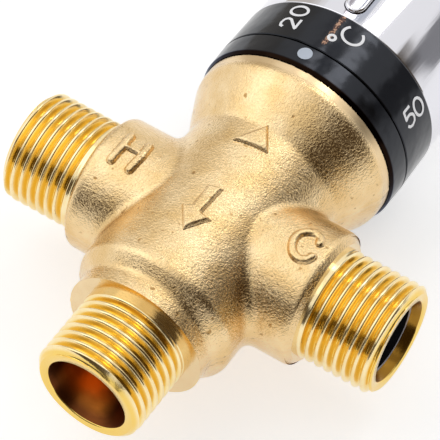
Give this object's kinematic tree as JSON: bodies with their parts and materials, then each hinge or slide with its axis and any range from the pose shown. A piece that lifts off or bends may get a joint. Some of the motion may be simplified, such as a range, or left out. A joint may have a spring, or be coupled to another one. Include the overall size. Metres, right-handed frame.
{
  "type": "mixing valve",
  "caption": "Forged brass three-port mixing valve that blends hot and cold water to a set temperature, with a chrome knob, black scale ring and lock button.",
  "frame": {"origin": "centre of the mixed outlet's end face, on the main axis", "axes": "+Y along the main axis from the outlet to the knob; +X towards the cold inlet; +Z out of the side with the flow marks"},
  "size_m": [0.0758, 0.1106, 0.0409],
  "materials": {
    "forged_brass": "sand-blasted forging with machined ports",
    "turned_brass": "turned",
    "black_acetal": "smooth moulded",
    "white_acetal": "moulded",
    "seal_rubber": "smooth",
    "spring_steel": "drawn wire",
    "copper": "drawn",
    "ring_plastic": "gloss black, white print",
    "knob_chrome": "plated, polished",
    "button_chrome": "plated, polished"
  },
  "bodies": {
    "housing": {"valve_body": "forged_brass", "hot_check_housing": "black_acetal", "hot_check_seal": "seal_rubber", "hot_check_guide": "white_acetal", "hot_check_spring": "spring_steel", "cold_check_housing": "black_acetal", "cold_check_seal": "seal_rubber", "cold_check_guide": "white_acetal", "cold_check_spring": "spring_steel", "cartridge_sleeve": "turned_brass", "lower_sleeve_seal": "seal_rubber", "middle_sleeve_seal": "seal_rubber", "upper_sleeve_seal": "seal_rubber", "spring_seat": "turned_brass", "hot_seat": "white_acetal", "cold_seat": "white_acetal", "return_spring": "spring_steel", "bonnet": "turned_brass", "bonnet_seal": "seal_rubber", "index_ring": "ring_plastic", "stop_collar": "ring_plastic"},
    "knob_group": {"knob": "knob_chrome", "scale_ring": "ring_plastic", "spline_bush": "white_acetal", "knob_screw": "spring_steel", "knob_cap": "knob_chrome", "spindle": "turned_brass", "spindle_seal": "seal_rubber", "spindle_clip": "spring_steel", "button_spring": "spring_steel"},
    "button": {"safety_button": "button_chrome"},
    "adjuster": {"adjusting_carriage": "turned_brass", "overload_spring": "spring_steel", "thrust_cup": "turned_brass", "carriage_clip": "spring_steel", "adjuster_piston": "spring_steel"},
    "shuttle_group": {"shuttle": "white_acetal", "shuttle_seal": "seal_rubber", "wax_element": "copper"},
    "hot_poppet_group": {"hot_poppet": "white_acetal"},
    "cold_poppet_group": {"cold_poppet": "white_acetal"}
  },
  "joints": [
    {"name": "knob_turn", "type": "hinge", "parent": "housing", "child": "knob_group", "pos_m": [0, 0.09, 0], "axis": [0, 1, 0], "range_deg": [-64.1, 19.3]},
    {"name": "button_press", "type": "slide", "parent": "knob_group", "child": "button", "axis": [-0.0175, 0, -0.9998], "range_m": [0, 0.0018], "stiffness_N_per_m": 300, "springref_m": -0.002, "deforming": ["button_spring"]},
    {"name": "adjuster_slide", "type": "slide", "parent": "housing", "child": "adjuster", "axis": [0, -1, 0], "range_m": [-0.0011, 0.00035]},
    {"name": "thermal_slide", "type": "slide", "parent": "adjuster", "child": "shuttle_group", "axis": [0, -1, 0], "range_m": [-0.0004, 0.0004], "stiffness_N_per_m": 1500, "deforming": ["return_spring"]},
    {"name": "hot_poppet_slide", "type": "slide", "parent": "housing", "child": "hot_poppet_group", "axis": [1, 0, 0], "range_m": [0, 0.0025], "stiffness_N_per_m": 60, "springref_m": -0.002, "deforming": ["hot_check_spring"]},
    {"name": "cold_poppet_slide", "type": "slide", "parent": "housing", "child": "cold_poppet_group", "axis": [-1, 0, 0], "range_m": [0, 0.0025], "stiffness_N_per_m": 60, "springref_m": -0.002, "deforming": ["cold_check_spring"]}
  ],
  "couplings": [
    {"joint": "adjuster_slide", "follows": "knob_turn", "m_per_rad": 0.00095493}
  ]
}
